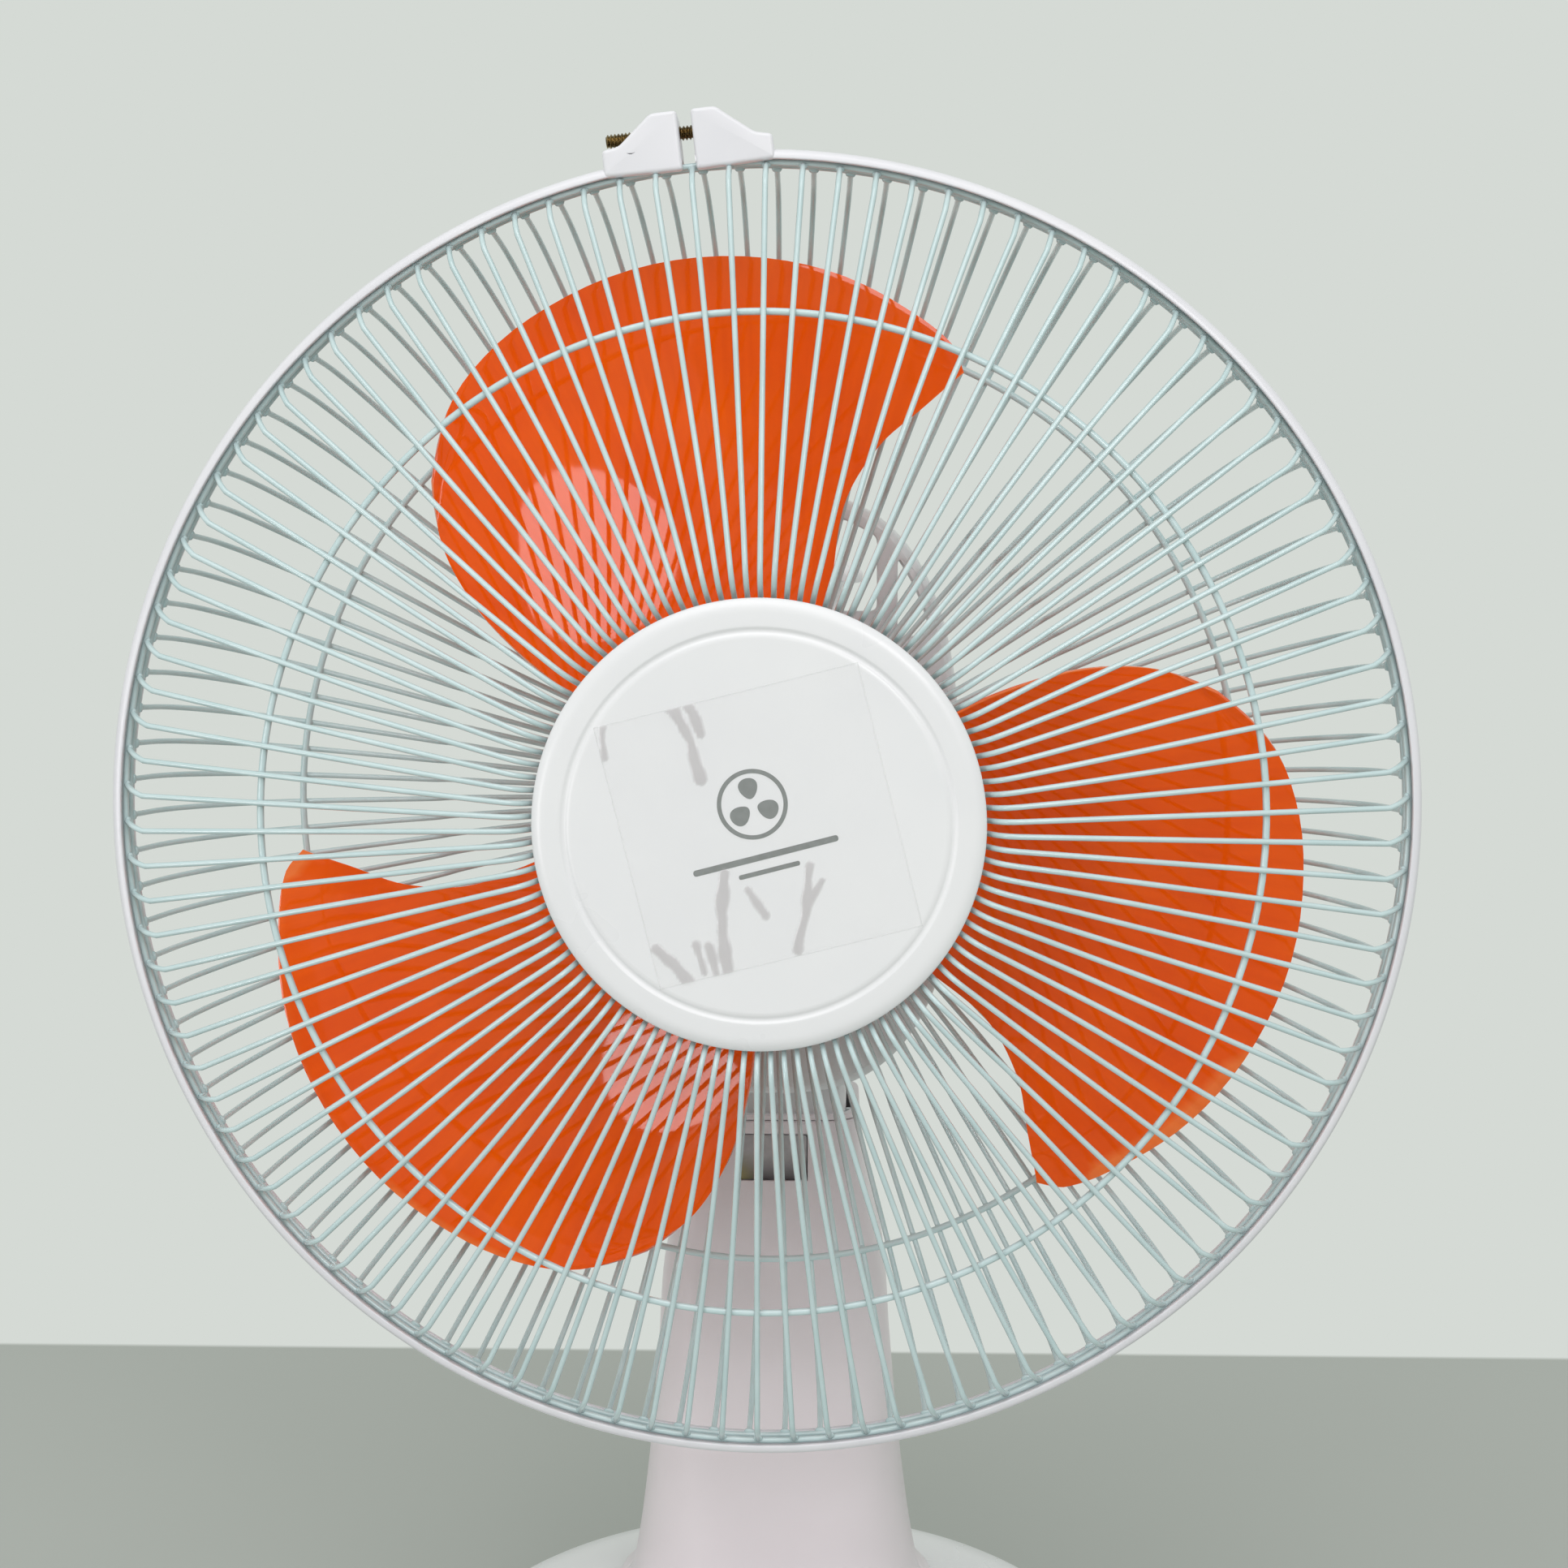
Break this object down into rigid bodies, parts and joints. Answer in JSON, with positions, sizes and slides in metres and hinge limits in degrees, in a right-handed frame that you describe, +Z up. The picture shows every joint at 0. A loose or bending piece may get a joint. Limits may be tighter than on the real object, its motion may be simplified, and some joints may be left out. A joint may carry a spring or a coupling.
{
  "type": "desk fan",
  "caption": "Free-standing desk fan with a clamped wire guard, moulded blade, oscillating and tilting head, hollow column and round push-button base.",
  "frame": {"origin": "on the floor under the middle of the round base", "axes": "+Z up; the fan blows towards -Y; +X is to the right of someone facing the fan"},
  "size_m": [0.348, 0.23, 0.4841],
  "materials": {
    "powder_coat": "pale mint powder coat, satin",
    "white_abs": "moulded, satin",
    "column_abs": "moulded, satin, faint lavender",
    "orange_san": "moulded, glossy orange",
    "film": "clear protective film",
    "label": "plain grey foil",
    "dark_abs": "moulded, satin",
    "zinc_steel": "zinc plated",
    "brass": "passivated, dull",
    "bronze": "sintered, oiled",
    "laminated_iron": "stacked laminations",
    "copper": "enamelled wire",
    "acetal": "natural acetal",
    "rubber": "moulded rubber"
  },
  "bodies": {
    "base": {"base_shell": "white_abs", "base_plate": "dark_abs", "column_front": "column_abs", "column_back": "column_abs", "column_collar": "column_abs", "column_tube": "zinc_steel", "column_label": "label", "tilt_pin": "zinc_steel", "rubber_foot_front_left": "rubber", "rubber_foot_front_right": "rubber", "rubber_foot_rear_left": "rubber", "rubber_foot_rear_right": "rubber", "switch_body": "dark_abs", "start_capacitor": "dark_abs", "cord_inlet": "dark_abs", "base_screw_left": "zinc_steel", "base_screw_right": "zinc_steel", "button_bezel": "white_abs"},
    "neck": {"neck_barrel": "white_abs", "swivel_pin": "zinc_steel", "link_anchor_pin": "zinc_steel"},
    "head": {"front_guard": "powder_coat", "rear_guard": "powder_coat", "front_badge": "white_abs", "badge_back_plate": "white_abs", "badge_film": "film", "badge_screw_left": "zinc_steel", "badge_screw_right": "zinc_steel", "rim_hoop": "white_abs", "clamp_screw": "brass", "clamp_nut": "zinc_steel", "guard_nut": "white_abs", "motor_front_cover": "white_abs", "motor_rear_cover": "white_abs", "front_bracket": "zinc_steel", "rear_bracket": "zinc_steel", "front_bush": "bronze", "rear_bush": "bronze", "stator_core": "laminated_iron", "front_winding": "copper", "rear_winding": "copper", "gearbox_housing": "acetal", "swivel_yoke": "zinc_steel"},
    "rotor": {"fan_blade": "orange_san", "blade_nut": "orange_san", "drive_pin": "zinc_steel", "motor_shaft": "zinc_steel", "rotor_core": "laminated_iron", "worm": "acetal"},
    "wheel": {"worm_wheel": "acetal"},
    "crank": {"crank_gear": "acetal"},
    "link": {"link_arm": "zinc_steel"},
    "knob": {"oscillation_knob": "white_abs"},
    "key_off": {"button_off": "column_abs"},
    "key_low": {"button_low": "column_abs"},
    "key_medium": {"button_medium": "column_abs"},
    "key_high": {"button_high": "column_abs"}
  },
  "joints": [
    {"name": "head_tilt", "type": "hinge", "parent": "base", "child": "neck", "pos_m": [0, 0.02, 0.1945], "axis": [1, 0, 0], "range_deg": [-20, 10]},
    {"name": "head_swivel", "type": "hinge", "parent": "neck", "child": "head", "pos_m": [0, 0.02, 0.216], "axis": [0, 0, 1], "range_deg": [-40, 40]},
    {"name": "blade_spin", "type": "hinge", "parent": "head", "child": "rotor", "pos_m": [0, -0.0845, 0.3], "axis": [0, -1, 0], "continuous": true},
    {"name": "wheel_spin", "type": "hinge", "parent": "head", "child": "wheel", "pos_m": [0.0164, 0.0595, 0.3], "axis": [0, 0, 1], "continuous": true},
    {"name": "crank_spin", "type": "hinge", "parent": "head", "child": "crank", "pos_m": [-0.003, 0.0595, 0.3], "axis": [0, 0, 1], "continuous": true},
    {"name": "knob_pull", "type": "slide", "parent": "head", "child": "knob", "axis": [0, 0, 1], "range_m": [0, 0.006]},
    {"name": "link_turn", "type": "hinge", "parent": "neck", "child": "link", "pos_m": [-0.016, 0.034, 0.2304], "axis": [0, 0, 1], "range_deg": [-12, 12]},
    {"name": "press_off", "type": "slide", "parent": "base", "child": "key_off", "axis": [0, 0, -1], "range_m": [0, 0.004], "stiffness_N_per_m": 300, "springref_m": -0.001},
    {"name": "press_low", "type": "slide", "parent": "base", "child": "key_low", "axis": [0, 0, -1], "range_m": [0, 0.004], "stiffness_N_per_m": 300, "springref_m": -0.001},
    {"name": "press_medium", "type": "slide", "parent": "base", "child": "key_medium", "axis": [0, 0, -1], "range_m": [0, 0.004], "stiffness_N_per_m": 300, "springref_m": -0.001},
    {"name": "press_high", "type": "slide", "parent": "base", "child": "key_high", "axis": [0, 0, -1], "range_m": [0, 0.004], "stiffness_N_per_m": 300, "springref_m": -0.001}
  ],
  "couplings": [
    {"joint": "wheel_spin", "follows": "blade_spin", "ratio": 0.03333},
    {"joint": "crank_spin", "follows": "blade_spin", "ratio": -0.0119}
  ]
}
